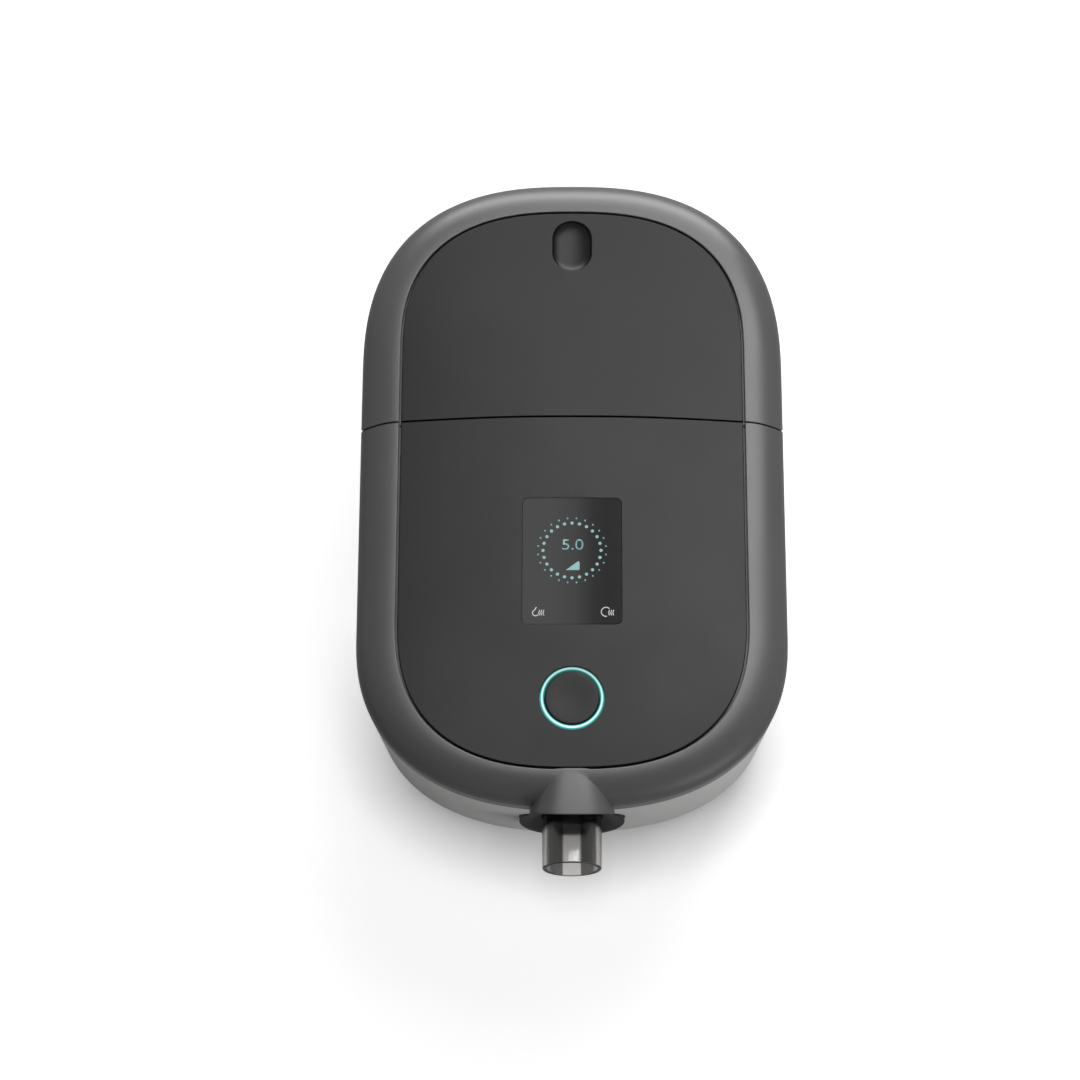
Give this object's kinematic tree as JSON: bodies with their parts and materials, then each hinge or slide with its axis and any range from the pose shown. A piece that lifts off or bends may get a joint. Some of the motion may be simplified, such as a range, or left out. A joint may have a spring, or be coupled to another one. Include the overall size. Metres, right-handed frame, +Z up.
{
  "type": "cpap machine",
  "caption": "Bedside breathing-therapy machine: rounded housing, hinged lid over a heated water tank, touch display, round lit button and a tapered air outlet.",
  "frame": {"origin": "middle of the machine seen from above, outlet included, at the level its feet stand on", "axes": "+Z up, +Y towards the lid end, so the air outlet points to -Y, and +X to the right seen from the front"},
  "size_m": [0.158, 0.262, 0.086],
  "materials": {
    "charcoal_plastic": "satin, fine texture",
    "panel_plastic": "satin, smooth",
    "warm_grey_plastic": "satin",
    "inner_grey_plastic": "satin",
    "smoky_clear_plastic": "polished, clear",
    "tank_clear_plastic": "polished, clear",
    "silicone_seal": "matte",
    "dark_rubber": "matte",
    "display_glass": "polished",
    "screen": "satin",
    "light_ring": "diffusing",
    "circuit_board": "satin",
    "aluminium": "brushed",
    "steel": "brushed",
    "white_nylon": "satin",
    "filter_foam": "open foam",
    "black_plastic": "satin"
  },
  "bodies": {
    "base": {"front_cover": "charcoal_plastic", "front_panel": "panel_plastic", "base_housing": "warm_grey_plastic", "tank_bay_liner": "inner_grey_plastic", "outlet_duct": "inner_grey_plastic", "outlet_tube": "smoky_clear_plastic", "water_tank": "tank_clear_plastic", "tank_lid": "tank_clear_plastic", "tank_seal": "silicone_seal", "outlet_seal": "silicone_seal", "foot_front_left": "dark_rubber", "foot_front_right": "dark_rubber", "foot_rear_left": "dark_rubber", "foot_rear_right": "dark_rubber", "blower_mount": "dark_rubber", "button_switch": "dark_rubber", "display_window": "display_glass", "display_module": "screen", "button_light_ring": "light_ring", "main_board": "circuit_board", "power_board": "circuit_board", "heater_plate": "aluminium", "tank_heat_plate": "steel", "motor_can": "steel", "motor_bearing_upper": "steel", "motor_bearing_lower": "steel", "card_reader": "steel", "screw_front_left": "steel", "screw_front_right": "steel", "screw_rear_left": "steel", "screw_rear_right": "steel", "heater_insulator": "white_nylon", "inlet_filter": "filter_foam", "hinge_bracket_left": "black_plastic", "hinge_bracket_right": "black_plastic", "outlet_collar": "black_plastic", "display_frame": "black_plastic", "chassis_tray": "black_plastic", "power_transformer": "black_plastic", "power_capacitor": "black_plastic", "power_inlet": "black_plastic", "filter_cassette": "black_plastic", "blower_lower_housing": "black_plastic", "blower_upper_housing": "black_plastic"},
    "lid": {"lid_frame": "charcoal_plastic", "lid_panel": "panel_plastic", "lid_liner": "inner_grey_plastic", "lid_seal": "silicone_seal", "lid_latch_hook": "black_plastic", "hinge_pin_left": "steel", "hinge_pin_right": "steel"},
    "therapy_button": {"therapy_button": "panel_plastic"},
    "filter_door": {"filter_door": "warm_grey_plastic"},
    "memory_card": {"memory_card": "black_plastic"},
    "blower_rotor": {"blower_impeller": "white_nylon", "motor_shaft": "steel", "motor_magnet": "steel"}
  },
  "joints": [
    {"name": "lid_hinge", "type": "hinge", "parent": "base", "child": "lid", "pos_m": [0, 0.0415, 0.0788], "axis": [1, 0, 0], "range_deg": [0, 95]},
    {"name": "button_press", "type": "slide", "parent": "base", "child": "therapy_button", "axis": [0, 0, -1], "range_m": [0, 0.0008], "stiffness_N_per_m": 1500, "springref_m": -0.0004},
    {"name": "filter_door_hinge", "type": "hinge", "parent": "base", "child": "filter_door", "pos_m": [-0.07622, 0, 0.0485], "axis": [0, 1, 0], "range_deg": [0, 85]},
    {"name": "card_slide", "type": "slide", "parent": "base", "child": "memory_card", "axis": [1, 0, 0], "range_m": [0, 0.016]},
    {"name": "blower_spin", "type": "hinge", "parent": "base", "child": "blower_rotor", "pos_m": [-0.026, -0.01597, 0.03], "axis": [0, 0, 1], "continuous": true}
  ]
}
